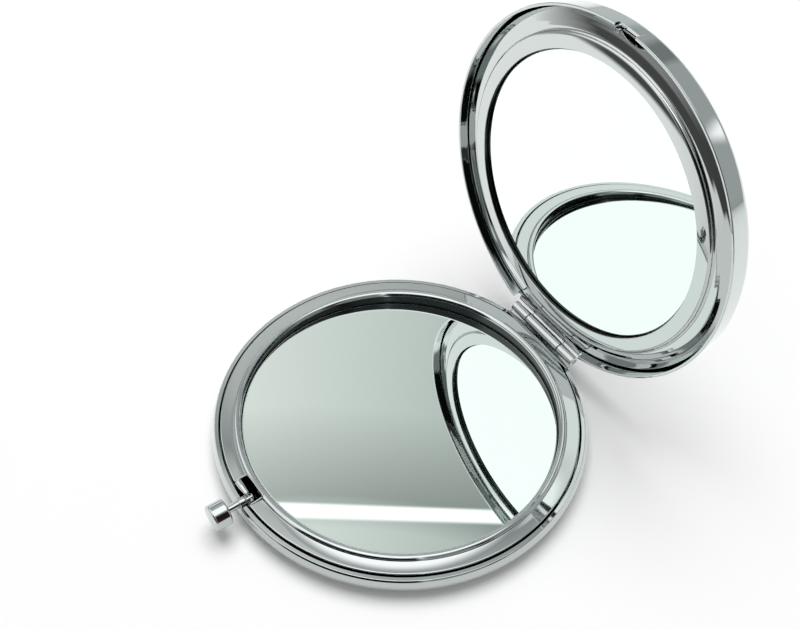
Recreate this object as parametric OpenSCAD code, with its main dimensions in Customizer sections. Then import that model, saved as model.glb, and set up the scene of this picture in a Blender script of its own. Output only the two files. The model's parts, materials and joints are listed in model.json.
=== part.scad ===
// Round compact mirror: two chromed half shells on a back hinge, a flat mirror in each,
// and a push button at the front that draws a sprung latch hook off the lid's catch.
// The frame's origin is the middle of the face it rests on, with +Z up, the hinge at +Y
// and the button at -Y. The lid is drawn closed and then turned open about the hinge.

/* [Case] */
// Outer radius of the base shell
case_r = 33; // [28:0.5:40]
// Radius of the base's rounded back edge, up to the widest line of its wall
edge_r = 3.3; // [3.2:0.1:4]
// Height of the base's rim above the widest line of its wall
rim_h = 1.4; // [1.2:0.05:1.5]
// Radius of the base's wall as it turns in to the rim
shoulder_r = 2.2; // [2.1:0.1:2.6]
// Radius of the lid's rounded back edge
lid_edge_r = 1.7; // [1.4:0.1:2.4]
// Distance by which the lid's wall leans in from its rim to its back
lid_lean = 0.45; // [0.2:0.05:0.5]
// Thickness of the shell sheet
shell_t = 0.5; // [0.4:0.05:0.55]
// Gap between the two rims when closed
rim_gap = 0.25; // [0.2:0.05:0.4]
// Angle to which the lid is opened
open_angle = 94.5; // [60:0.5:100]

/* [Base frame and mirror] */
// Gap between the shells' rims and the flat rings inside them
ring_gap = 0.26; // [0.1:0.02:0.4]
// Height of the base ring above the base rim
base_ring_rise = 0.3; // [0.2:0.05:0.35]
// Thickness of the frame sheet
frame_t = 0.4; // [0.3:0.05:0.45]
// Distance from the ring's outer edge in to the top of the bead round the base mirror
bead_in = 2.95; // [2.85:0.05:3.4]
// Height of that bead above the ring
bead_h = 0.57; // [0.5:0.01:0.6]
// Width from the top of the bead out to the flat ring
bead_foot = 0.65; // [0.6:0.05:0.75]
// Depth from the base ring down to the mirror's face
base_well = 0.8; // [0.7:0.05:0.9]
// Thickness of the mirror glass
glass_t = 1.1; // [1:0.05:1.2]
// Gap round each mirror in its well
glass_gap = 0.15; // [0.1:0.05:0.3]
// Width of the ledge under each mirror
ledge_w = 1.5; // [1.2:0.1:2]
// Thickness of the adhesive ring on the ledge
tape_t = 0.2; // [0.1:0.05:0.3]
// Gap from the ledge in to the backing disc
backing_gap = 1.4; // [0.8:0.1:2]

/* [Lid frame and mirror] */
// Depth of the lid ring inside the lid rim
lid_ring_drop = 1.3; // [1.2:0.05:1.4]
// Gap from the base's well in to the shoulder of the lid's raised step
step_gap = 0.55; // [0.5:0.05:0.9]
// Height of that step above the lid ring
step_h = 0.7; // [0.6:0.05:0.75]
// Radius of the rounded shoulder of the step
step_round = 0.6; // [0.4:0.05:0.6]
// Radius of the hollow foot of the step
step_foot = 0.5; // [0.3:0.05:0.5]
// Width of the sloping step from its shoulder in to the lid mirror's well
step_w = 2.15; // [1.8:0.05:3]
// Rise of the sloping step from its shoulder to its inner edge
step_slope = 0.5; // [0.3:0.05:0.5]
// Depth from the inner edge to the lid mirror's face
lid_well = 0.9; // [0.8:0.05:1]

/* [Hinge] */
// Distance of the hinge axis behind the case's wall
hinge_out = 0; // [-0.1:0.05:0.3]
// Height of the hinge axis above the base ring
hinge_rise = 0.3; // [0.1:0.05:0.4]
// Outer radius of the hinge barrel
barrel_r = 1.05; // [1:0.05:1.1]
// Length of the whole barrel
barrel_l = 17; // [14:0.5:18]
// Length of the middle knuckle
knuckle_l = 8.8; // [7:0.2:9.6]
// Gap between knuckles
knuckle_gap = 0.08; // [0.05:0.01:0.15]
// Radius of the hinge pin
pin_r = 0.5; // [0.45:0.05:0.6]
// Clearance of the pin in the knuckles
pin_fit = 0.03; // [0.02:0.01:0.08]
// Thickness of the hinge leaves
leaf_t = 0.3; // [0.2:0.05:0.35]
// Width of the opening in the shells for the hinge
hinge_cut_w = 18.4; // [18.1:0.1:19]
// Depth of the rings' straight back edge, from their round edge
hinge_cut_in = 0.55; // [0.5:0.05:0.7]
// Width of the part of each leaf that reaches down inside its shell
leaf_deep_w = 8; // [6:0.5:9]
// Clearance round the barrel and the leaves
hinge_gap = 0.2; // [0.15:0.05:0.3]

/* [Button and latch] */
// Sideways place of the button rod
button_x = 0; // [-0.3:0.05:0.2]
// Travel of the button
button_travel = 1.1; // [0.8:0.1:1.2]
// Radius of the button knob
knob_r = 2.35; // [2:0.05:2.6]
// Length of the button knob
knob_l = 3; // [2.4:0.1:4]
// Rounding of the edges of the knob
knob_round = 0.35; // [0.2:0.05:0.5]
// Distance from the case wall to the knob
knob_stand = 2; // [1.8:0.1:3]
// Radius of the button rod
rod_r = 0.65; // [0.6:0.01:0.66]
// Radius of the thin end of the rod
neck_r = 0.4; // [0.35:0.01:0.42]
// Wall of the brass guide bush
bush_t = 0.2; // [0.15:0.01:0.2]
// Running clearance of the rod in its bush
rod_fit = 0.03; // [0.02:0.01:0.06]
// Left end of the latch hook
hook_left = -3.55; // [-3.6:0.05:-3.4]
// Right end of the latch hook
hook_right = 0.8; // [0.7:0.05:0.9]
// Radius of the rolled head of the hook
hook_round = 0.5; // [0.45:0.01:0.52]
// Height of the underside of the hook's head above the base ring
hook_rise = 0.3; // [0.28:0.01:0.35]
// Thickness of the hook sheet
hook_t = 0.4; // [0.3:0.05:0.45]
// Left end of the latch pocket in the base ring
pocket_left = -4.1; // [-4.3:0.1:-3.9]
// Right end of the latch pocket in the base ring
pocket_right = 1.3; // [1.1:0.1:1.6]
// Space between the pressed hook and the inner edge of the pocket
pocket_gap = 0.36; // [0.33:0.01:0.4]
// Thickness of the lid catch
catch_t = 0.25; // [0.2:0.01:0.27]
// Width of the lid catch
catch_w = 4.2; // [3.6:0.1:4.2]
// Bite of the catch under the hook
catch_bite = 0.3; // [0.2:0.05:0.35]
// Sideways place of the crescent cut in the lid's ring
crescent_x = 1.15; // [1:0.05:1.3]
// Radius of that cut
crescent_r = 6.5; // [6:0.1:7]
// Depth of that cut from the ring's edge
crescent_in = 1.2; // [1:0.05:1.3]

/* [Spring] */
// Mean radius of the return spring
spring_r = 0.6; // [0.5:0.05:0.65]
// Diameter of the spring wire
wire_d = 0.22; // [0.15:0.01:0.24]
// Number of turns
spring_turns = 4; // [2:1:4]
// Rise of each turn
spring_pitch = 0.7; // [0.68:0.01:0.75]

/* [Hidden] */
$fn = 96;
// Overrun of every cut
over = 1;

// Heights of the base, from the face it rests on
half_h = edge_r + rim_h;
base_ring_z = half_h + base_ring_rise;
base_glass_z = base_ring_z - base_well;
// Heights of the lid in its closed place
lid_rim_z = half_h + rim_gap;
lid_top_z = lid_rim_z + half_h;
lid_ring_z = lid_rim_z + lid_ring_drop;
lid_lip_z = lid_ring_z - step_h - step_slope;
lid_glass_z = lid_lip_z + lid_well;
seam_z = (half_h + lid_rim_z) / 2;

// Radii of the lid shell: its rim matches the base's, and its wall leans in from there
lid_rim_r = case_r - shoulder_r + sqrt(shoulder_r * shoulder_r - rim_h * rim_h);
lean_a = atan(lid_lean / half_h);
lid_edge_x = lid_rim_r - lid_lean - lid_edge_r * tan(45 - lean_a / 2);

// Radii of the rings and wells
ring_r = case_r - shoulder_r + sqrt(pow(shoulder_r - shell_t, 2) - rim_h * rim_h) - ring_gap;
bead_r = ring_r - bead_in;
// Raised bead of the base frame
bead_round = (bead_foot * bead_foot + bead_h * bead_h) / (2 * bead_h);
bead_z = base_ring_z + bead_h - bead_round;
base_well_r = bead_r - bead_round;
step_r = base_well_r - step_gap;
lid_well_r = step_r - step_w;
// Skirts of the two frames stop just short of the shells' rounded backs
skirt_gap = 0.1;
ring_edge = 0.2;

// Hinge
hinge_y = case_r + hinge_out;
hinge_z = base_ring_z + hinge_rise;
hinge_cut_y = ring_r - hinge_cut_in;
bore_r = pin_r + pin_fit;
end_knuckle_l = (barrel_l - knuckle_l) / 2 - knuckle_gap;
leaf_seat = 0.05;

// Button, rod and bush
wall_y = case_r;
knob_in_y = wall_y + knob_stand;
bush_bore_r = rod_r + rod_fit;
bush_r = bush_bore_r + bush_t;
bush_l = 1.1;
bush_seat = 0.03;
washer_t = 0.2;
washer_gap = 0.05;
washer_over = 0.22;
hook_in = 0.15;
hook_tip_y = ring_r - hook_in;
hook_back_y = hook_tip_y - 2 * hook_round;
hook_front_y = hook_back_y + hook_t;
washer_y = hook_tip_y + washer_gap;
bush_in_y = washer_y + washer_t + washer_gap;
rivet_t = 0.25;
knob_bore_l = 2;
knob_bore_fit = 0.02;
hook_under_z = base_ring_z + hook_rise;

// Catch
catch_gap = 0.1;
catch_lip_t = hook_under_z - catch_gap - lid_rim_z;
catch_in_y = hook_tip_y + catch_gap;
catch_tip_y = hook_tip_y - catch_bite;
catch_leg_right = button_x - bush_r - 2 * catch_gap;
catch_top = 1;
notch_z = seam_z + bush_r + catch_gap;
pocket_y = hook_back_y - button_travel - pocket_gap;

// Spring and its seat
spring_x = (hook_left + hook_right) / 2;
spring_z = shell_t + wire_d + spring_r + wire_d / 2;
spring_l = spring_turns * spring_pitch + 2 * wire_d;
seat_y = hook_back_y - spring_l;
seat_t = 0.4;
seat_foot_l = 1.4;
seat_foot_t = 0.3;
seat_w = 2 * (spring_r + wire_d);
seat_peg_r = spring_r - wire_d;
seat_peg_l = 0.6;
rings_per_turn = 8;
wire_sides = 6;

// Turns what is drawn in the lid's closed place to its open place
module opened() {
  translate([0, hinge_y, hinge_z])
    rotate([-open_angle, 0, 0])
      translate([0, -hinge_y, -hinge_z])
        children();
}

// Turns a half shell over, back up, to its closed place on the base
module turned_over() {
  translate([0, 0, lid_top_z]) mirror([0, 0, 1]) children();
}

// Lays a revolve made along +Z so that it points out of the front, along -Y
module to_front(y) {
  translate([button_x, -y, seam_z]) rotate([90, 0, 0]) children();
}

// Right half of the base shell's outline, drawn in from its outer face by t
module base_outline(t, top) {
  edge_x = case_r - edge_r;
  shoulder_x = case_r - shoulder_r;
  difference() {
    union() {
      translate([0, t]) square([edge_x, top - t]);
      intersection() {
        translate([edge_x, edge_r]) circle(edge_r - t);
        square([case_r, edge_r]);
      }
      intersection() {
        translate([shoulder_x, edge_r]) circle(shoulder_r - t);
        translate([0, edge_r]) square([case_r, top - edge_r]);
      }
      translate([0, edge_r]) square([shoulder_x, top - edge_r]);
    }
    translate([-case_r, -over]) square([case_r, top + 2 * over]);
  }
}

// Right half of the lid shell's outline, back down, drawn in from its outer face by t
module lid_outline(t, top) {
  edge_in = lid_edge_r - t;
  translate([lid_edge_x, lid_edge_r]) circle(edge_in);
  polygon([[0, t], [lid_edge_x, t],
           [lid_edge_x + edge_in * cos(lean_a), lid_edge_r - edge_in * sin(lean_a)],
           [lid_rim_r - t / cos(lean_a) + (top - half_h) * tan(lean_a), top], [0, top]]);
}

// One pressed half shell, back down, with its rim cut away at the hinge: the second child
// is cut from the first
module half_shell(hinge_clear_z) {
  difference() {
    rotate_extrude() difference() {
      children(0);
      children(1);
    }
    translate([-hinge_cut_w / 2, hinge_cut_y, hinge_clear_z])
      cube([hinge_cut_w, case_r, half_h + over]);
  }
}

// Height of the inside of the base shell's rounded edge at radius r, from its back
function base_floor(r) =
  edge_r - sqrt(pow(edge_r - shell_t, 2) - pow(r - (case_r - edge_r), 2));

module base_shell() {
  color("silver") difference() {
    half_shell(hinge_z - barrel_r - hinge_gap) {
      base_outline(0, half_h);
      base_outline(shell_t, half_h + over);
    }
    to_front(0) translate([0, 0, ring_r - over]) cylinder(r = bush_r + bush_seat, h = case_r);
  }
}

// Flat ring with a rounded outer edge, a skirt down to z_skirt and its face at z = 0
module ring_section(r_in, skirt_l) {
  translate([r_in, -frame_t]) square([ring_r - ring_edge - r_in, frame_t]);
  translate([ring_r - ring_edge, -ring_edge]) circle(ring_edge);
  translate([ring_r - frame_t, -skirt_l]) square([frame_t, skirt_l - ring_edge]);
}

// Straight cut along the back of a frame, where the hinge leaf stands
module leaf_cut(z, h) {
  translate([-hinge_cut_w / 2, hinge_cut_y - leaf_seat, z]) cube([hinge_cut_w, case_r, h]);
}

module base_frame() {
  skirt_l = base_ring_z - base_floor(ring_r) - skirt_gap;
  ledge_z = base_glass_z - glass_t - tape_t - frame_t;
  color("gainsboro") difference() {
    rotate_extrude() {
      translate([0, base_ring_z]) ring_section(bead_r + bead_round - frame_t, skirt_l);
      intersection() {
        translate([bead_r, bead_z]) difference() {
          circle(bead_round);
          circle(bead_round - frame_t);
        }
        translate([base_well_r, bead_z]) square([2 * bead_round, bead_round]);
      }
      translate([base_well_r, ledge_z]) square([frame_t, bead_z - ledge_z]);
      translate([base_well_r - ledge_w, ledge_z]) square([ledge_w + frame_t, frame_t]);
    }
    leaf_cut(0, case_r);
    translate([pocket_left, -case_r, 0])
      cube([pocket_right - pocket_left, case_r - pocket_y, base_ring_z + over]);
  }
}

module base_mirror() {
  color("lightblue") translate([0, 0, base_glass_z - glass_t])
    cylinder(r = base_well_r - glass_gap, h = glass_t);
}

// Flat adhesive ring on a ledge whose wall is at well_r
module tape_ring(well_r, z) {
  translate([0, 0, z]) difference() {
    cylinder(r = well_r - glass_gap, h = tape_t);
    translate([0, 0, -over]) cylinder(r = well_r - ledge_w, h = tape_t + 2 * over);
  }
}

module base_mirror_tape() {
  color("ivory") tape_ring(base_well_r, base_glass_z - glass_t - tape_t);
}

module base_backing() {
  color("white") translate([0, 0, shell_t])
    cylinder(r = base_well_r - ledge_w - backing_gap, h = base_glass_z - glass_t - shell_t);
}

// One knuckle of the barrel, from x0 along +X
module knuckle(x0, l) {
  translate([x0, hinge_y, hinge_z]) rotate([0, 90, 0]) cylinder(r = barrel_r, h = l);
}

module knuckle_bore() {
  translate([-barrel_l, hinge_y, hinge_z]) rotate([0, 90, 0]) cylinder(r = bore_r, h = 2 * barrel_l);
}

// Standing flange of a leaf between two heights
module leaf_flange(w, z0, z1) {
  translate([-w / 2, hinge_cut_y, z0]) cube([w, leaf_t, z1 - z0]);
}

// Web of a leaf from its flange to y1, from x0 along +X
module leaf_web(x0, l, z, y1) {
  translate([x0, hinge_cut_y, z]) cube([l, y1 - hinge_cut_y, leaf_t]);
}

module base_hinge_leaf() {
  web_z = hinge_z - barrel_r;
  foot_z = base_floor(norm([leaf_deep_w / 2, hinge_cut_y + leaf_t])) + skirt_gap;
  far_y = hinge_y - barrel_r - hinge_gap;
  color("darkgray") difference() {
    union() {
      leaf_flange(barrel_l, web_z, base_ring_z);
      leaf_flange(leaf_deep_w, foot_z, web_z);
      leaf_web(-barrel_l / 2, barrel_l, web_z, far_y);
      for (side = [-1, 1]) {
        x0 = side > 0 ? barrel_l / 2 - end_knuckle_l : -barrel_l / 2;
        leaf_web(x0, end_knuckle_l, web_z, hinge_y);
        knuckle(x0, end_knuckle_l);
      }
    }
    knuckle_bore();
  }
}

module hinge_pin() {
  color("dimgray") translate([-barrel_l / 2, hinge_y, hinge_z]) rotate([0, 90, 0])
    cylinder(r = pin_r, h = barrel_l);
}

module rod_bush() {
  color("goldenrod") to_front(bush_in_y) difference() {
    cylinder(r = bush_r, h = bush_l);
    translate([0, 0, -over]) cylinder(r = bush_bore_r, h = bush_l + 2 * over);
  }
}

module spring_seat() {
  top_z = base_glass_z - glass_t - tape_t - frame_t - skirt_gap;
  color("darkgray") {
    translate([spring_x - seat_w / 2, -seat_y, shell_t]) cube([seat_w, seat_t, top_z - shell_t]);
    translate([spring_x - seat_w / 2, -seat_y, shell_t])
      cube([seat_w, seat_t + seat_foot_l, seat_foot_t]);
    translate([spring_x, -seat_y, spring_z]) rotate([90, 0, 0])
      cylinder(r = seat_peg_r, h = seat_peg_l);
  }
}

module lid_shell() {
  clear_z = lid_top_z - (hinge_z + barrel_r + hinge_gap);
  notch_w = catch_w + 2 * catch_gap;
  color("silver") opened() difference() {
    turned_over() half_shell(clear_z) {
      lid_outline(0, half_h);
      lid_outline(shell_t, half_h + over);
    }
    translate([button_x - notch_w / 2, -case_r, lid_rim_z - over])
      cube([notch_w, case_r - ring_r, notch_z - lid_rim_z + over]);
  }
}

// Section of the lid frame with its ring's face at z = 0 and its step towards -Z
module lid_frame_section(skirt_l) {
  well_top = lid_glass_z + glass_t + tape_t + frame_t - lid_ring_z;
  round_z = step_round - step_h;
  reach = step_round + step_foot;
  foot_x = step_r + sqrt(reach * reach - pow(round_z + step_foot, 2));
  // Point where the rounded shoulder runs into the hollow foot
  meet_x = step_r + (foot_x - step_r) * step_round / reach;
  meet_z = round_z - (round_z + step_foot) * step_round / reach;
  mirror([0, 1]) ring_section(foot_x, skirt_l);
  intersection() {
    translate([step_r, round_z]) circle(step_round);
    translate([lid_well_r, -step_h]) square([foot_x - lid_well_r, step_round]);
  }
  difference() {
    polygon([[step_r, frame_t], [step_r, round_z], [meet_x, meet_z], [foot_x, meet_z],
             [foot_x, frame_t]]);
    translate([foot_x, -step_foot]) circle(step_foot);
  }
  polygon([[lid_well_r, -step_h - step_slope], [step_r, -step_h], [step_r, frame_t - step_h],
           [lid_well_r + frame_t, frame_t - step_h - step_slope], [lid_well_r + frame_t, well_top],
           [lid_well_r, well_top]]);
  translate([lid_well_r - ledge_w, well_top - frame_t]) square([ledge_w + frame_t, frame_t]);
}

module lid_frame() {
  skirt_l = lid_top_z - lid_edge_r - lid_ring_z;
  color("gainsboro") opened() difference() {
    translate([0, 0, lid_ring_z]) rotate_extrude() lid_frame_section(skirt_l);
    leaf_cut(lid_ring_z - over, case_r);
    translate([crescent_x, crescent_in - ring_r - crescent_r, lid_ring_z - over])
      cylinder(r = crescent_r, h = lid_top_z - lid_ring_z);
  }
}

module lid_mirror() {
  color("lightblue") opened() translate([0, 0, lid_glass_z])
    cylinder(r = lid_well_r - glass_gap, h = glass_t);
}

module lid_mirror_tape() {
  color("ivory") opened() tape_ring(lid_well_r, lid_glass_z + glass_t);
}

module lid_backing() {
  back_z = lid_glass_z + glass_t;
  color("white") opened() translate([0, 0, back_z])
    cylinder(r = lid_well_r - ledge_w - backing_gap, h = lid_top_z - shell_t - back_z);
}

module lid_hinge_leaf() {
  web_z = hinge_z + barrel_r - leaf_t;
  far_y = hinge_y - barrel_r - hinge_gap;
  color("darkgray") opened() difference() {
    union() {
      leaf_flange(barrel_l, web_z, hinge_z + barrel_r + hinge_gap);
      leaf_flange(leaf_deep_w, web_z, lid_top_z - lid_edge_r);
      leaf_web(-barrel_l / 2, barrel_l, web_z, far_y);
      leaf_web(-knuckle_l / 2, knuckle_l, web_z, hinge_y);
      knuckle(-knuckle_l / 2, knuckle_l);
    }
    knuckle_bore();
  }
}

// Plate behind the notch in the lid's wall, with a leg beside the rod that ends in a lip
module lid_catch() {
  out_y = catch_in_y + catch_t;
  x0 = button_x - catch_w / 2;
  leg_w = catch_leg_right - x0;
  color("silver") opened() {
    translate([x0, -out_y, notch_z]) cube([catch_w, catch_t, catch_top]);
    translate([x0, -out_y, lid_rim_z]) cube([leg_w, catch_t, notch_z - lid_rim_z]);
    translate([x0, -out_y, lid_rim_z]) cube([leg_w, out_y - catch_tip_y, catch_lip_t]);
  }
}

module button_knob() {
  color("silver") to_front(knob_in_y) difference() {
    rotate_extrude() {
      square([knob_r - knob_round, knob_l]);
      translate([0, knob_round]) square([knob_r, knob_l - 2 * knob_round]);
      for (z = [knob_round, knob_l - knob_round])
        translate([knob_r - knob_round, z]) circle(knob_round);
    }
    translate([0, 0, -over]) cylinder(r = rod_r + knob_bore_fit, h = knob_bore_l + over);
  }
}

// Rod with a thin neck that passes through the hook and is headed over behind it
module button_rod() {
  shoulder_y = bush_in_y;
  head_y = hook_back_y - washer_gap / 2;
  color("silver") {
    to_front(shoulder_y)
      cylinder(r = rod_r, h = knob_in_y + knob_bore_l - knob_bore_fit - shoulder_y);
    to_front(head_y - rivet_t) cylinder(r = neck_r, h = shoulder_y - head_y + rivet_t);
    to_front(head_y - rivet_t) cylinder(r = rod_r, h = rivet_t);
  }
}

module rod_washer() {
  color("silver") to_front(washer_y) difference() {
    cylinder(r = rod_r + washer_over, h = washer_t);
    translate([0, 0, -over]) cylinder(r = neck_r + rod_fit, h = washer_t + 2 * over);
  }
}

// Upright plate with a rolled head that looks outwards, and a foot that takes the spring
module latch_hook() {
  foot_z = base_floor(norm([hook_front_y, hook_left])) + 2 * skirt_gap;
  head_y = hook_tip_y - hook_round;
  color("silver") difference() {
    translate([hook_left, 0, 0]) rotate([90, 0, 90]) linear_extrude(hook_right - hook_left) {
      translate([-hook_front_y, foot_z]) square([hook_t, hook_under_z - foot_z]);
      intersection() {
        translate([-head_y, hook_under_z]) circle(hook_round);
        translate([-hook_tip_y, hook_under_z]) square([2 * hook_round, hook_round]);
      }
    }
    to_front(hook_back_y - over) cylinder(r = neck_r + rod_fit, h = hook_t + 2 * over);
  }
}

// Points of the return spring's wire, from its straight end on the seat to the one on the hook
function spring_path() = let (
    n = spring_turns * rings_per_turn,
    turn = [for (i = [0:n]) let (a = 360 * i / rings_per_turn)
      [spring_r * cos(a), wire_d + spring_pitch * i / rings_per_turn, spring_r * sin(a)]])
  concat([[spring_r, 0, 0]], turn, [[spring_r, 2 * wire_d + spring_pitch * spring_turns, 0]]);

function unit(v) = v / norm(v);

// Six-sided tube along the path, with its rings square to the path
module wire(path, r, sides) {
  n = len(path);
  rings = [for (i = [0:n - 1]) let (
      t = i == 0 || i == n - 1 ? [0, 1, 0] : unit(path[i + 1] - path[i - 1]),
      out = unit([path[i][0], 0, path[i][2]]),
      side = unit(cross(t, out)),
      up = cross(side, t))
    for (k = [0:sides - 1]) let (a = 360 * k / sides) path[i] + r * (up * cos(a) + side * sin(a))];
  walls = [for (i = [0:n - 2], k = [0:sides - 1]) let (
      a = i * sides + k,
      b = i * sides + (k + 1) % sides)
    for (f = [[a, b, b + sides], [a, b + sides, a + sides]]) f];
  caps = concat(
    [for (k = [1:sides - 2]) [0, k + 1, k]],
    [for (k = [1:sides - 2]) [(n - 1) * sides, (n - 1) * sides + k, (n - 1) * sides + k + 1]]);
  polyhedron(points = rings, faces = concat(walls, caps));
}

module return_spring() {
  path = spring_path();
  near = [for (i = [0:len(path) - 1], j = [0:len(path) - 1])
    if (j - i > rings_per_turn / 2) norm(path[j] - path[i]) - wire_d];
  echo(spring_least_gap = min(near));
  color("gold") translate([spring_x, -seat_y, spring_z]) rotate([0, 0, 180])
    wire(path, wire_d / 2, wire_sides);
}

base_shell();
base_frame();
base_mirror();
base_mirror_tape();
base_backing();
base_hinge_leaf();
hinge_pin();
rod_bush();
spring_seat();
lid_shell();
lid_frame();
lid_mirror();
lid_mirror_tape();
lid_backing();
lid_hinge_leaf();
lid_catch();
button_knob();
button_rod();
rod_washer();
latch_hook();
return_spring();
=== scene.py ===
"""Looks for an open chromed compact mirror: plated metal, silvered glass and a white studio."""
import json

import bmesh
import bpy
import numpy as np
from mathutils import Matrix, Vector


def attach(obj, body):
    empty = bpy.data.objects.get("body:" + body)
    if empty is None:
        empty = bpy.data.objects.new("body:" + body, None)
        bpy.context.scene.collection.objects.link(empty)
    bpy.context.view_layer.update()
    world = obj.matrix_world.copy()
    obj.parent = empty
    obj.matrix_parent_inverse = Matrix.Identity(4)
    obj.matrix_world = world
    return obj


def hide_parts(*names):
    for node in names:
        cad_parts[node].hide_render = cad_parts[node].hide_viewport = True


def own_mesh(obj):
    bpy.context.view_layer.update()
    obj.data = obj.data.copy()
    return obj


bl_info = {
    "name": "Compact mirror",
    "version": (1, 0, 0),
    "blender": (4, 5, 0),
    "location": "View3D > Sidebar > Compact",
    "description": "Builds the looks of a round push-button compact mirror round its CAD frame",
    "category": "Object",
}

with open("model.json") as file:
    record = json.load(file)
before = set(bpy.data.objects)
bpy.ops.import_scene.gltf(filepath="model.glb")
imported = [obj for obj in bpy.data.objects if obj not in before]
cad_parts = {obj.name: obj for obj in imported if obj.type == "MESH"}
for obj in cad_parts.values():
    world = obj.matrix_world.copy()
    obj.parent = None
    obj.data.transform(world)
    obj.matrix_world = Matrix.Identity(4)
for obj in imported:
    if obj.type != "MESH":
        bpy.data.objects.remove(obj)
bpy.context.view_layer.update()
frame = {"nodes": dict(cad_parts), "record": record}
NODES = frame["nodes"]
MM = 0.001

# The camera that the photograph was taken with, solved from the circles of both halves:
# focal length in pixels of an 800 pixel wide frame, place in mm, and its right, up and back axes.
FOCAL_PX = 1146.93
FRAME_PX = 800
SENSOR_MM = 36
EYE_MM = (94.878, -74.077, 167.973)
EYE_RIGHT = (0.57939, 0.81442, 0.03211)
EYE_UP = (-0.62414, 0.41799, 0.6601)
EYE_BACK = (0.52418, -0.4025, 0.75049)

# Places in the row's frame, in mm
WALL_R = 32.0       # middle of both walls
HINGE_Y = 33.0
HINGE_Z = 5.3
OPEN_DEG = 94.5
SEAM_Z = 4.825      # middle of the seam, and the button's axis
CLOSED_TOP = 9.65
HINGE_CUT_X = 9.2
BEAD_R, BEAD_Z, BEAD_ROUND = 28.554, 4.914, 0.656   # half-round bead of the base ring
POCKET_X = (-4.1, 1.3)      # sides of the latch pocket
POCKET_Y = -28.75           # its edge in the bead
CRESCENT_X, CRESCENT_Y = 1.15, -36.804  # middle of the crescent cut
SPRING_Y = -27.114          # fixed end of the return spring
SPRING_LONG = 3.24
# The base glass in the photographed case sits a little low and out of level
GLASS_DROP = -0.2
GLASS_LEAN = (0.0146, -0.0356)


def linear(code):
    """Linear RGBA of an sRGB hex colour."""
    srgb = np.array([int(code[i:i + 2], 16) for i in (0, 2, 4)]) / 255
    low = srgb / 12.92
    high = ((srgb + 0.055) / 1.055) ** 2.4
    return (*np.where(srgb <= 0.04045, low, high), 1.0)


def add(tree, kind, inputs=None, **settings):
    """Adds a node. An input is a value, or a socket that is linked to it."""
    node = tree.nodes.new(kind)
    for name, value in settings.items():
        setattr(node, name, value)
    for name, value in (inputs or {}).items():
        if isinstance(value, bpy.types.NodeSocket):
            tree.links.new(value, node.inputs[name])
        else:
            node.inputs[name].default_value = value
    return node


def new_material(name):
    """An empty material's node tree with its output node."""
    made = bpy.data.materials.new(name)
    made.use_nodes = True
    made.node_tree.nodes.clear()
    return made, made.node_tree, add(made.node_tree, "ShaderNodeOutputMaterial")


def surface_material(name, code, metallic=0.0, grain_mm=0.5, rough=(0.3, 0.4), bump_um=0.0,
                     swell_mm=None, **sockets):
    """A surface whose roughness wanders over its grain and whose face has a shallow relief.

    grain_mm is the size of one speck, rough the least and greatest roughness, bump_um the
    relief's depth in micrometres, and swell_mm the size of one swell of that relief.
    """
    made, tree, out = new_material(name)
    place = add(tree, "ShaderNodeTexCoord").outputs["Object"]
    speck = add(tree, "ShaderNodeTexNoise", {"Vector": place, "Scale": 1 / (grain_mm * MM),
                                             "Detail": 3.0, "Roughness": 0.6})
    spread = add(tree, "ShaderNodeMapRange", {"Value": speck.outputs["Fac"], "From Min": 0.3,
                                              "From Max": 0.7, "To Min": rough[0],
                                              "To Max": rough[1]})
    shader = add(tree, "ShaderNodeBsdfPrincipled", {"Base Color": linear(code),
                                                    "Metallic": metallic,
                                                    "Roughness": spread.outputs["Result"],
                                                    **sockets})
    if bump_um:
        swell = add(tree, "ShaderNodeTexNoise", {"Vector": place, "Detail": 2.0,
                                                 "Scale": 1 / ((swell_mm or grain_mm) * MM)})
        relief = add(tree, "ShaderNodeBump", {"Height": swell.outputs["Fac"], "Strength": 1.0,
                                              "Distance": bump_um * MM * MM})
        tree.links.new(relief.outputs["Normal"], shader.inputs["Normal"])
    tree.links.new(shader.outputs["BSDF"], out.inputs["Surface"])
    return made


def paint(node, made):
    """Gives a CAD node or a new piece one material."""
    node.data.materials.clear()
    node.data.materials.append(made)


class CompactColours(bpy.types.PropertyGroup):
    """Colours of the finishes, as sRGB hex codes"""
    chrome: bpy.props.StringProperty(
        name="Chrome", description="Colour of the chrome plate", default="c3c7c7")
    glass: bpy.props.StringProperty(
        name="Mirror", description="Tint of the silvered glass", default="e9f1ed")
    floor: bpy.props.StringProperty(
        name="Floor", description="Colour of the table top", default="f4f4f4")
    room: bpy.props.StringProperty(
        name="Room", description="Colour of the room that the chrome reflects", default="b4baba")


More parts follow.
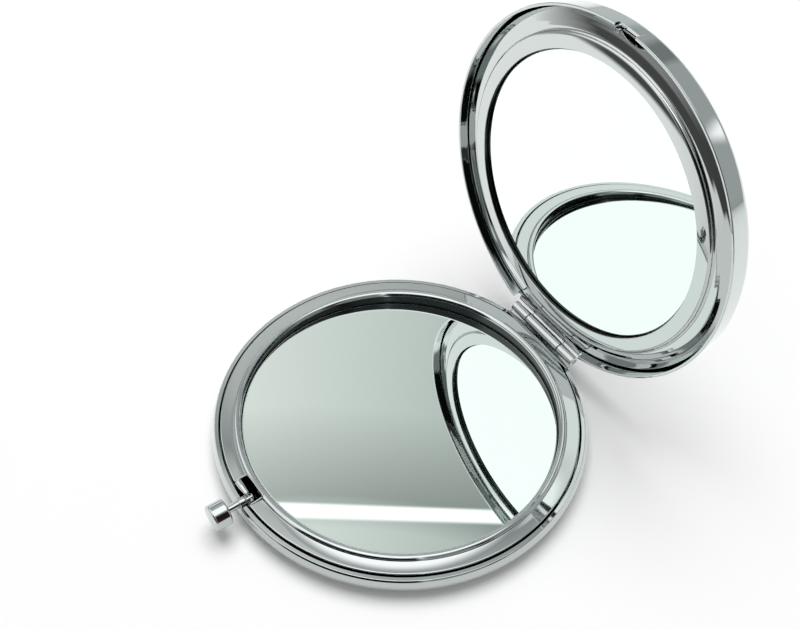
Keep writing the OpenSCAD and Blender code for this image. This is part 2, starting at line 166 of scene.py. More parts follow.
class CompactShape(bpy.types.PropertyGroup):
    """Sizes of the edges and of the pieces that only the scene shapes"""
    columns: bpy.props.IntProperty(
        name="Columns", description="Columns of each round piece", default=360, min=48)
    lip_round: bpy.props.FloatProperty(
        name="Lip round", description="Round of the shells' rims", default=0.12 * MM,
        min=0.02 * MM, max=0.2 * MM, unit="LENGTH", precision=5)
    ring_round: bpy.props.FloatProperty(
        name="Ring round", description="Round of the rings' outer edge", default=0.2 * MM,
        min=0.05 * MM, max=0.3 * MM, unit="LENGTH", precision=5)
    glass_bevel: bpy.props.FloatProperty(
        name="Glass bevel", description="Ground bevel of the mirror glass", default=0.2 * MM,
        min=0.05 * MM, max=0.5 * MM, unit="LENGTH", precision=5)
    foam_square: bpy.props.FloatProperty(
        name="Foam squareness", description="Power that rounds the foam discs' edges",
        default=0.3, min=0.1, max=1.0)
    knuckle_round: bpy.props.FloatProperty(
        name="Knuckle round", description="Round of the hinge knuckles' ends",
        default=0.14 * MM, min=0.02 * MM, max=0.25 * MM, unit="LENGTH", precision=5)
    knob_round: bpy.props.FloatProperty(
        name="Knob round", description="Round of the push button's edges",
        default=0.35 * MM, min=0.1 * MM, max=0.6 * MM, unit="LENGTH", precision=5)
    curl_eye: bpy.props.FloatProperty(
        name="Curl eye", description="Radius of the open eye in the hook's curl",
        default=0.33 * MM, min=0.1 * MM, max=0.45 * MM, unit="LENGTH", precision=5)


class CompactStudio(bpy.types.PropertyGroup):
    """Sizes and levels of the studio"""
    floor_w: bpy.props.FloatProperty(
        name="Floor width", description="Width of the table top", default=6.0,
        min=1.0, unit="LENGTH")
    card_r: bpy.props.FloatProperty(
        name="Card distance", description="Distance of the studio's cards", default=1.0,
        min=0.3, unit="LENGTH")
    key_w: bpy.props.FloatProperty(
        name="Key width", description="Width of the soft key light", default=1.3,
        min=0.1, unit="LENGTH")
    key_power: bpy.props.FloatProperty(
        name="Key power", description="Power of the soft key light", default=20.0,
        min=0.0, unit="POWER")
    fill: bpy.props.FloatProperty(
        name="Fill", description="Level of the soft light from above", default=0.64, min=0.0)


CARD_EDGE_DEG = 5       # width of a card's soft edge
CARD_STEP = 10 * MM     # distance between two cards, one before the other
KEY_M = (-0.34, 0.2, 1.6)
# Cards that only the chrome and the mirrors see: azimuth from +Y towards +X, elevation,
# colour, strength, and how many steps nearer than the farthest it stands.
CARDS = {
    "ceiling": (-180, 180, 63, 90, "ffffff", 1.7, 0),
    "ceiling_edge": (-110, 0, 58, 63, "e4ebe9", 1.1, 0),
    "window_behind_left": (-178, -98, 19, 68, "ffffff", 1.35, 1),
    "box_front_right": (112, 180, 60, 76, "ffffff", 2.2, 1),
    "box_side": (108, 114, 34, 58, "ffffff", 1.8, 3),
    "dark_camera_side": (112, 184, -8, 47, "121414", 1.0, 2),
    "wall_right": (50, 112, 3, 52, "8c9290", 1.0, 0),
    "post_right": (71, 85, 2, 68, "2c2018", 1.0, 2),
    "window_left": (-50, 0, 0, 20, "e9eeee", 0.9, 1),
    "wall_back": (-34, 50, 2, 52, "c4cac9", 0.92, 0),
    "beam_back": (-27, -11, 17, 46, "8d9393", 1.0, 2),
    "spot_back": (12, 24, 19, 29, "ffffff", 1.6, 3),
    "wall_left": (-102, -48, 30, 41, "9aa5aa", 1.0, 0),
    "box_left": (-92, -44, 14, 25, "ffffff", 1.8, 1),
}
# The pale wall that the base mirror shows: a plain gradient, lightest a third of the way along
# and dimmest beside a long lamp, as its tones along the azimuth and its levels up the
# elevation, each as (share of the way, value).
MIRROR_WALL = (-78, -28, 40, 64)
MIRROR_WALL_STEP = 1.5
WALL_TONES = ((0.0, "d4d9d6"), (0.3, "e6eae7"), (1.0, "9ca5a3"))
WALL_LEVELS = ((0.4, 1.0), (0.62, 0.6), (0.7, 1.05))
# Corners of that lamp's long thin diffuser, as azimuth and elevation
LONG_LAMP = ((-63.4, 55.05), (-63.55, 56.2), (-35.3, 53.75), (-34.85, 54.75))
LONG_LAMP_STEP = 4
# Painted shade on the table top that only the chrome sees, each as (direction, start and end
# along it, level at the start, level at the end): dimmer on the camera's side, and dark in a
# patch on the push button's side, which ends to both sides, near the case and far from it.
FLOOR_SIDE = ((0.8, -0.6, 0), 0.1, 0.7, 1.0, 0.74)
FLOOR_BESIDE = ((0.17, -0.98, 0), 0.25, 0.62, 1.0, 0.0)
FLOOR_NEAR = ((0, -1, 0), 0.106, 0.122, 1.0, 0.0)
FLOOR_FAR = ((0, 1, 0), -0.7, -0.2, 0.35, 0.0)
FLOOR_DARKEST = 0.08


def faded(tree, glow, soft_u, soft_v):
    """A glow that fades to nothing over a share of the card's width at its edges."""
    place = add(tree, "ShaderNodeUVMap", uv_map="span").outputs["UV"]
    split = add(tree, "ShaderNodeSeparateXYZ", {"Vector": place}).outputs
    level = add(tree, "ShaderNodeValue")
    level.outputs[0].default_value = 1.0
    for axis, soft in (("X", soft_u), ("Y", soft_v)):
        for start, end in ((0.0, soft), (1.0, 1.0 - soft)):
            if soft:
                edge = add(tree, "ShaderNodeMapRange", {"Value": split[axis], "From Min": start,
                                                        "From Max": end},
                           interpolation_type="SMOOTHSTEP")
                level = add(tree, "ShaderNodeMath", {0: level.outputs[0], 1: edge.outputs[0]},
                            operation="MULTIPLY")
    clear = add(tree, "ShaderNodeBsdfTransparent")
    return add(tree, "ShaderNodeMixShader", {0: level.outputs[0], 1: clear.outputs[0],
                                             2: glow.outputs[0]}).outputs[0]


def card_shader(name, code, strength, soft_u, soft_v):
    """Material that only gives off its own colour, softly at the card's edges."""
    made, tree, out = new_material(name)
    glow = add(tree, "ShaderNodeEmission", {"Color": linear(code), "Strength": strength})
    tree.links.new(faded(tree, glow, soft_u, soft_v), out.inputs["Surface"])
    return made


def arc(centre, radius, start, end, steps):
    """Arc of an outline in (r, z): centre plus radius times (cos a, sin a), a in degrees."""
    a = np.radians(np.linspace(start, end, steps + 1))
    return np.stack([centre[0] + radius * np.cos(a), centre[1] + radius * np.sin(a)], -1)


def rounded_corners(corners, steps=5, support=0.03):
    """Closed outline in (r, z) through corners (r, z, round).

    A rounded corner is the arc of that radius tangent to both its sides, blended between its
    two ends round its centre, with one point a little way along each side so that the flat
    beside it keeps its own normal.
    """
    place = np.array([corner[:2] for corner in corners], float)
    parts = []
    for i, (_, _, radius) in enumerate(corners):
        here = place[i]
        if not radius:
            parts.append(here[None])
            continue
        back = place[i - 1] - here
        ahead = place[(i + 1) % len(place)] - here
        back, ahead = back / np.linalg.norm(back), ahead / np.linalg.norm(ahead)
        half = np.arccos(np.clip(back @ ahead, -1, 1)) / 2
        reach = radius / np.tan(half)
        middle = back + ahead
        centre = here + middle / np.linalg.norm(middle) * radius / np.sin(half)
        first, last = here + back * reach - centre, here + ahead * reach - centre
        turn = np.pi - 2 * half
        s = np.linspace(0, 1, steps + 1)[:, None]
        bend = centre + (np.sin((1 - s) * turn) * first + np.sin(s * turn) * last) / np.sin(turn)
        parts += [(here + back * (reach + support))[None], bend,
                  (here + ahead * (reach + support))[None]]
    return np.concatenate(parts)


def with_rounds(points, radius=0.0):
    """An outline's points as corners (r, z, round) that all have one round."""
    return [(r, z, radius) for r, z in points]


def lathe(outline, count, back_x=(), front_x=()):
    """Outline (r, z) carried round Z: (r sin a, r cos a, z) at each azimuth a of an even fan.

    Each x of back_x or front_x adds a column to the fan on that side. Near both sides the
    columns beyond r = 28 stand at one x each, so that a cut there ends in a plane.
    """
    even = np.arange(count) * 2 * np.pi / count
    back = np.arcsin(np.array(back_x, float) / WALL_R)
    front = np.pi - np.arcsin(np.array(front_x, float) / WALL_R)
    a = np.unique(np.round(np.concatenate([even, back % (2 * np.pi), front]), 7))[:, None]
    r, z = outline[:, 0][None], outline[:, 1][None]
    x = WALL_R * np.sin(a)
    straight = np.arcsin(np.clip(x / np.maximum(r, 1e-6), -1, 1))
    straight = np.where(np.cos(a) < 0, np.pi - straight, straight)
    straight = straight + 2 * np.pi * np.round((a - straight) / (2 * np.pi))
    hold = np.clip((17 - np.abs(x)) / 6, 0, 1) * (r > 28)
    turned = a + hold * (straight - a)
    return np.stack([r * np.sin(turned), r * np.cos(turned), z + 0 * a], -1)


def pair(*places):
    """Two close columns round each x, for the end of a cut."""
    return [x + step for x in places for step in (-0.01, 0.01)]


def opened(points):
    """Points of the closed lid, turned by the opening angle about the hinge's axis."""
    turn = np.radians(-OPEN_DEG)
    y, z = points[..., 1] - HINGE_Y, points[..., 2] - HINGE_Z
    return np.stack([points[..., 0], HINGE_Y + y * np.cos(turn) - z * np.sin(turn),
                     HINGE_Z + y * np.sin(turn) + z * np.cos(turn)], -1)


def leaned(points):
    """Points of the base glass's seat: z falls towards the hinge and to the left, as a plane."""
    x, y, z = np.moveaxis(points, -1, 0)
    return np.stack([x, y, z + (GLASS_DROP + GLASS_LEAN[0] * x + GLASS_LEAN[1] * y)], -1)


def rounded_box(low, high, radius, steps=4):
    """Box with rounded edges: its core's nearest corner plus radius times the unit normal n.

    n runs over a sphere whose columns and rows are doubled where a component changes sign.
    """
    quarter = np.linspace(0, 90, steps + 1)
    u = np.radians((np.arange(4)[:, None] * 90 + quarter).ravel())
    side = np.repeat(np.arange(4), steps + 1)
    v = np.radians(np.concatenate([-90 + quarter, quarter]))
    top = np.repeat([-1, 1], steps + 1)
    n = np.stack([np.cos(u)[:, None] * np.cos(v), np.sin(u)[:, None] * np.cos(v),
                  0 * u[:, None] + np.sin(v)], -1)
    sign = np.stack([np.where((side == 0) | (side == 3), 1, -1)[:, None] + 0 * top,
                     np.where(side < 2, 1, -1)[:, None] + 0 * top, 0 * side[:, None] + top], -1)
    low, high = np.array(low, float), np.array(high, float)
    return (low + high) / 2 + sign * ((high - low) / 2 - radius) + radius * n


def along(outline, axis, start):
    """Outline (distance, r) spun about the X or the Y axis: 'x' runs along +X from start,
    'y' runs out of the front, along -Y, from start."""
    a = np.linspace(0, 2 * np.pi, 64, endpoint=False)[:, None]
    s, r = outline[:, 0][None], outline[:, 1][None]
    if axis == "x":
        return np.stack([start + s + 0 * a, HINGE_Y + r * np.sin(a), HINGE_Z + r * np.cos(a)], -1)
    return np.stack([r * np.sin(a), -(start + s) + 0 * a, SEAM_Z + r * np.cos(a)], -1)


def grid_faces(n_u, n_v, wrap_u=False, wrap_v=False):
    """Four-sided faces between the neighbours of a grid, as an array (u, v, 4) of indices."""
    u = np.arange(n_u if wrap_u else n_u - 1)[:, None]
    v = np.arange(n_v if wrap_v else n_v - 1)[None, :]
    u2, v2 = (u + 1) % n_u, (v + 1) % n_v
    return np.stack([u * n_v + v, u2 * n_v + v, u2 * n_v + v2, u * n_v + v2], -1)


def build(name, made, grids, body, replaced, sharp_deg=40):
    """One piece from grids of points in mm, each (points, wrap_u, wrap_v, material rows).

    Doubled points are merged, each grid's faces are turned outwards by the sign of the volume
    that it encloses, and edges sharper than sharp_deg stay sharp.
    """
    work = bmesh.new()
    for points, wrap_u, wrap_v, rows in grids:
        faces = grid_faces(*points.shape[:2], wrap_u, wrap_v)
        shape, faces = faces.shape[:2], faces.reshape(-1, 4)
        flat = points.reshape(-1, 3) * MM
        a, b, c, d = (flat[faces[:, i]] for i in range(4))
        if (np.cross(b - a, c - a) * a + np.cross(c - a, d - a) * a).sum() < 0:
            faces = faces[:, ::-1]
        mesh = bpy.data.meshes.new(name)
        mesh.from_pydata(flat, [], faces)
        if rows is not None:
            index = np.broadcast_to(np.asarray(rows)[None, :shape[1]], shape)
            mesh.polygons.foreach_set("material_index", index.ravel().astype(np.int32))
        work.from_mesh(mesh)
        bpy.data.meshes.remove(mesh)
    bmesh.ops.remove_doubles(work, verts=work.verts, dist=2e-7)
    bmesh.ops.dissolve_degenerate(work, edges=work.edges, dist=1e-8)
    mesh = bpy.data.meshes.new(name)
    work.to_mesh(mesh)
    work.free()
    mesh.polygons.foreach_set("use_smooth", np.ones(len(mesh.polygons), bool))
    mesh.set_sharp_from_angle(angle=np.radians(sharp_deg))
    mesh.update()
    piece = bpy.data.objects.new(name, mesh)
    bpy.context.scene.collection.objects.link(piece)
    for one in made:
        mesh.materials.append(one)
    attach(piece, body)
    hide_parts(replaced)
    return piece


def grid_mesh(name, points):
    """Mesh of an open grid of points, with a UV map that runs from 0 to 1 both ways."""
    n_u, n_v = points.shape[:2]
    faces = grid_faces(n_u, n_v).reshape(-1, 4)
    mesh = bpy.data.meshes.new(name)
    mesh.from_pydata(points.reshape(-1, 3), [], faces)
    mesh.polygons.foreach_set("use_smooth", np.ones(len(mesh.polygons), bool))
    share = np.stack([faces // n_v / (n_u - 1), faces % n_v / (n_v - 1)], -1)
    mesh.uv_layers.new(name="span").data.foreach_set("uv", share.ravel())
    mesh.update()
    return mesh


def new_object(name, mesh, made):
    """Object at the origin that shows a mesh in a material."""
    piece = bpy.data.objects.new(name, mesh)
    bpy.context.scene.collection.objects.link(piece)
    paint(piece, made)
    return piece


def card_points(az0, az1, el0, el1, radius):
    """Part of a sphere: a point at azimuth a and elevation e is radius times
    (sin a cos e, cos a cos e, sin e)."""
    a, e = np.meshgrid(np.radians(np.linspace(az0, az1, 25)),
                       np.radians(np.linspace(el0, el1, 13)), indexing="ij")
    return radius * np.stack([np.sin(a) * np.cos(e), np.cos(a) * np.cos(e), np.sin(e)], -1)


def floor_material(code):
    """Matt white table top: it keeps the shadow, and shows white where nothing shades it. For the
    chrome it carries painted shade: dimmer on the camera's side, and dark in a patch on the
    button's side."""
    made, tree, out = new_material("matt_table_top")
    path = add(tree, "ShaderNodeLightPath").outputs
    seen = add(tree, "ShaderNodeMath", {0: path["Is Glossy Ray"],
                                        1: path["Is Transmission Ray"]}, operation="MAXIMUM")
    place = add(tree, "ShaderNodeTexCoord").outputs["Object"]
    way = add(tree, "ShaderNodeVectorMath", {0: place}, operation="NORMALIZE").outputs[0]

    def shade(vector, toward, start, end, first, last):
        share = add(tree, "ShaderNodeVectorMath", {0: vector, 1: toward},
                    operation="DOT_PRODUCT").outputs["Value"]
        return add(tree, "ShaderNodeMapRange", {
            "Value": share, "From Min": start, "From Max": end, "To Min": first,
            "To Max": last}).outputs["Result"]

    # Painted shade that only the chrome sees: the table top darkened by direction and by place
    dark = FLOOR_DARKEST
    for vector, span in ((way, FLOOR_BESIDE), (place, FLOOR_NEAR), (place, FLOOR_FAR)):
        dark = add(tree, "ShaderNodeMath", {0: shade(vector, *span), 1: dark},
                   operation="MAXIMUM").outputs[0]
    level = add(tree, "ShaderNodeMath", {0: shade(way, *FLOOR_SIDE), 1: dark},
                operation="MULTIPLY").outputs[0]
    matt = add(tree, "ShaderNodeBsdfDiffuse", {"Color": linear(code)})
    tone = add(tree, "ShaderNodeVectorMath", {0: linear("f1f3f1")[:3], "Scale": level},
               operation="SCALE").outputs[0]
    shaded = add(tree, "ShaderNodeBsdfDiffuse", {"Color": tone})
    glow = add(tree, "ShaderNodeEmission", {"Color": tone, "Strength": 0.28})
    both = add(tree, "ShaderNodeAddShader", {0: shaded.outputs[0], 1: glow.outputs[0]})
    mixed = add(tree, "ShaderNodeMixShader", {0: seen.outputs[0], 1: matt.outputs[0],
                                              2: both.outputs[0]})
    tree.links.new(mixed.outputs[0], out.inputs["Surface"])
    return made


def wall_shader(name):
    """Glow whose tone changes along the card and whose level changes up it."""
    made, tree, out = new_material(name)
    place = add(tree, "ShaderNodeUVMap", uv_map="span").outputs["UV"]
    split = add(tree, "ShaderNodeSeparateXYZ", {"Vector": place}).outputs
    ramps = []
    for axis, stops in (("X", [(at, linear(code)) for at, code in WALL_TONES]),
                        ("Y", [(at, (level, level, level, 1)) for at, level in WALL_LEVELS])):
        ramp = add(tree, "ShaderNodeValToRGB", {"Fac": split[axis]})
        while len(ramp.color_ramp.elements) < len(stops):
            ramp.color_ramp.elements.new(0.5)
        for element, (at, colour) in zip(ramp.color_ramp.elements, stops):
            element.position, element.color = at, colour
        ramps.append(ramp.outputs["Color"])
    both = add(tree, "ShaderNodeVectorMath", {0: ramps[0], 1: ramps[1]}, operation="MULTIPLY")
    glow = add(tree, "ShaderNodeEmission", {"Color": both.outputs["Vector"]})
    tree.links.new(faded(tree, glow, 0.05, 0.05), out.inputs["Surface"])
    return made


def set_world(room, fill):
    """White for the camera, the room's grey for the chrome, and a fill from above for the rest."""
    world = bpy.data.worlds.new("studio")
    bpy.context.scene.world = world
    world.use_nodes = True
    tree = world.node_tree
    tree.nodes.clear()
    out = add(tree, "ShaderNodeOutputWorld")
    path = add(tree, "ShaderNodeLightPath").outputs
    height = add(tree, "ShaderNodeSeparateXYZ", {
        "Vector": add(tree, "ShaderNodeTexCoord").outputs["Generated"]}).outputs["Z"]
    level = add(tree, "ShaderNodeMapRange", {"Value": height, "From Max": 0.9,
                                             "To Min": 0.05 * fill, "To Max": fill}).outputs[0]
    even = add(tree, "ShaderNodeBackground", {"Color": linear("ffffff"), "Strength": level})
    grey = add(tree, "ShaderNodeBackground", {"Color": linear(room), "Strength": 1.0})
    white = add(tree, "ShaderNodeBackground", {"Color": linear("ffffff"), "Strength": 1.0})
    mirrored = add(tree, "ShaderNodeMixShader", {0: path["Is Glossy Ray"], 1: even.outputs[0],
                                                 2: grey.outputs[0]})
    shown = add(tree, "ShaderNodeMixShader", {0: path["Is Camera Ray"], 1: mirrored.outputs[0],
                                              2: white.outputs[0]})
    tree.links.new(shown.outputs[0], out.inputs["Surface"])


class COMPACT_OT_stage(bpy.types.Operator):
    """Makes the table top, the studio's cards, the key light and the camera"""
    bl_idname = "compact.stage"
    bl_label = "Stage"

    def execute(self, context):
        scene = context.scene
        colours, studio = scene.compact_colours, scene.compact_studio
        half = studio.floor_w / 2
        corner = np.array([-half, half])
        x, y = np.meshgrid(corner, corner, indexing="ij")
        floor = new_object("floor", grid_mesh("floor", np.stack([x, y, 0 * x], -1)),
                           floor_material(colours.floor))
        cards = {}
        for name, (az0, az1, el0, el1, code, strength, step) in CARDS.items():
            soft_u = 0 if az1 - az0 > 300 else min(CARD_EDGE_DEG / (az1 - az0), 0.45)
            cards[name] = (card_points(az0, az1, el0, el1, studio.card_r - step * CARD_STEP),
                           card_shader(name, code, strength, soft_u,
                                       min(CARD_EDGE_DEG / (el1 - el0), 0.45)))
        cards["mirror_wall"] = (
            card_points(*MIRROR_WALL, studio.card_r - MIRROR_WALL_STEP * CARD_STEP),
            wall_shader("mirror_wall"))
        az, el = np.radians(LONG_LAMP).T
        corners = np.stack([np.sin(az) * np.cos(el), np.cos(az) * np.cos(el), np.sin(el)], -1)
        cards["long_lamp"] = (
            corners.reshape(2, 2, 3) * (studio.card_r - LONG_LAMP_STEP * CARD_STEP),
            card_shader("long_lamp", "ffffff", 1.5, 0.0, 0.3))
        for name, (points, made) in cards.items():
            card = new_object(name, grid_mesh(name, points), made)
            card.visible_camera = card.visible_diffuse = card.visible_shadow = False
        lamp = bpy.data.lights.new("key", "AREA")
        lamp.shape, lamp.size, lamp.energy = "DISK", studio.key_w, studio.key_power
        key = bpy.data.objects.new("key", lamp)
        key.location = KEY_M
        key.rotation_mode = "QUATERNION"
        key.rotation_quaternion = Vector(key.location).to_track_quat("Z", "Y")
        key.visible_glossy = False
        scene.collection.objects.link(key)
        set_world(colours.room, studio.fill)
        lens = bpy.data.cameras.new("camera")
        lens.sensor_width = SENSOR_MM
        lens.lens = SENSOR_MM * FOCAL_PX / FRAME_PX
        lens.clip_start, lens.clip_end = 0.01, 20
        camera = bpy.data.objects.new("camera", lens)
        turn = Matrix((EYE_RIGHT, EYE_UP, EYE_BACK)).transposed().to_4x4()
        camera.matrix_world = Matrix.Translation(Vector(EYE_MM) * MM) @ turn
        scene.collection.objects.link(camera)
        scene.camera = camera
        scene.view_settings.view_transform = "Standard"
        return {"FINISHED"}


class COMPACT_OT_plating(bpy.types.Operator):
    """Gives the pressed, plated, silvered and turned CAD parts their materials"""
    bl_idname = "compact.plating"
    bl_label = "Plating"

    def execute(self, context):
        colours = context.scene.compact_colours
        # Chrome over pressed steel: a mirror with long, very shallow swells of the sheet
        chrome = surface_material("bright_chrome_plate", colours.chrome, 1.0, grain_mm=1.5,
                                  rough=(0.02, 0.04), bump_um=2.0, swell_mm=7.0)
        # Painted shade in the wells: dark, half dull plate for their shade and dark reflections
        surface_material("thin_plate_in_the_well", "3a3e3e", 1.0, grain_mm=0.3,
                         rough=(0.12, 0.25), bump_um=2.0)
        # Silvered float glass: a flat, pale green mirror
        mirror = surface_material("silvered_glass", colours.glass, 1.0, grain_mm=2.0,
                                  rough=(0.0, 0.004))
        # Drawn steel pin: fine lines along its length read as a soft grey sheen
        steel = surface_material("drawn_steel", "9a9c9e", 1.0, grain_mm=0.1, rough=(0.2, 0.35),
                                 bump_um=2.0)
        # Turned brass: warm yellow with a satin break where the tool went round
        brass = surface_material("turned_brass", "d9b76a", 1.0, grain_mm=0.12,
                                 rough=(0.12, 0.3), bump_um=2.0)
        # Brass spring wire, half dull, painted dark brown: painted shade of the deep latch pocket
        surface_material("dulled_brass_wire", "4a3e26", 1.0, grain_mm=0.12, rough=(0.3, 0.45),
                         bump_um=2.0)
        # Crepe paper tape with dried adhesive: matt, cream
        tape = surface_material("paper_tape", "e2d8c0", grain_mm=0.3, rough=(0.7, 0.9),
                                bump_um=20.0)
        # Closed-cell foam: matt, off-white, pitted
        foam = surface_material("closed_cell_foam", "ecece6", grain_mm=0.25, rough=(0.8, 0.95),
                                bump_um=60.0)
        # Ground edge of the glass: frosted, pale green
        surface_material("ground_glass_edge", "dfeae4", grain_mm=0.1, rough=(0.35, 0.5),
                         bump_um=3.0)
        # Paint over the silver: flat grey
        surface_material("mirror_backing_paint", "8d9094", grain_mm=0.3, rough=(0.5, 0.6),
                         bump_um=8.0)
        finishes = {"chrome_plate": chrome, "mirror_glass": mirror, "pin_steel": steel,
                    "strip_steel": steel, "brass_bush": brass, "tape": tape, "foam": foam}
        for part in frame["record"]["subparts"]:
            paint(NODES[part["node"]], finishes[part["material_slot"]])
        return {"FINISHED"}


class COMPACT_OT_shells(bpy.types.Operator):
    """Makes both pressed half shells, with rounded rims and their cuts"""
    bl_idname = "compact.shells"
    bl_label = "Shells"

    def execute(self, context):
        shape = context.scene.compact_shape
        chrome = bpy.data.materials["bright_chrome_plate"]
        lip, inner_lip = shape.lip_round / MM, shape.lip_round / MM * 0.4
        flat = [0, 8, 16, 24, 29]
        # Base: back, quarter round of the edge, shoulder of a smaller radius, rim, and back inside
        outline = rounded_corners([
            *((r, 0, 0) for r in flat), *with_rounds(arc((29.7, 3.3), 3.3, -90, 0, 26)),
            *with_rounds(arc((30.8, 3.3), 2.2, 0, 36, 9)[1:]), (32.497, 4.7, lip),
            (31.764, 4.7, inner_lip), *with_rounds(arc((30.8, 3.3), 1.7, 40, 0, 6)),
            *with_rounds(arc((29.7, 3.3), 2.8, 0, -90, 16)[1:]),
            *((r, 0.5, 0) for r in flat[::-1])])
        points = lathe(outline, shape.columns, pair(-HINGE_CUT_X, HINGE_CUT_X),
                       np.linspace(-0.94, 0.94, 25))
        x, y, z = np.moveaxis(points, -1, 0)
        wall = np.hypot(x, y) > 30.6
        z = np.where(wall & (y > 0) & (np.abs(x) < HINGE_CUT_X), np.minimum(z, 4.05), z)
        round_hole = SEAM_Z - np.sqrt(np.maximum(0.91 ** 2 - x ** 2, 0))
        z = np.where(wall & (y < 0) & (np.abs(x) < 0.91), np.minimum(z, round_hole), z)
        build("base_shell_pressed", [chrome], [(np.stack([x, y, z], -1), True, False, None)],
              "base", "base_shell")
        # Lid, back down: back, tight edge, wall that leans outwards to the rim, and back inside
        lean = np.degrees(np.arctan(0.45 / 4.7))
        outline = rounded_corners([
            *((r, 0, 0) for r in flat), *with_rounds(arc((30.502, 1.7), 1.7, -90, -lean, 22)),
            (32.497, 4.7, lip), (31.995, 4.7, lip),
            *with_rounds(arc((30.502, 1.7), 1.2, -lean, -90, 14)),
            *((r, 0.5, 0) for r in flat[::-1])])
        points = lathe(outline, shape.columns, pair(-HINGE_CUT_X, HINGE_CUT_X), pair(-2.2, 2.2))
        x, y, z = np.moveaxis(points, -1, 0)
        z = CLOSED_TOP - z
        wall = np.hypot(x, y) > 30.6
        z = np.where(wall & (y > 0) & (np.abs(x) < HINGE_CUT_X), np.maximum(z, 6.55), z)
        z = np.where(wall & (y < 0) & (np.abs(x) < 2.2), np.maximum(z, 5.805), z)
        build("lid_shell_pressed", [chrome],
              [(opened(np.stack([x, y, z], -1)), True, False, None)],
              "lid", "lid_shell")
        return {"FINISHED"}


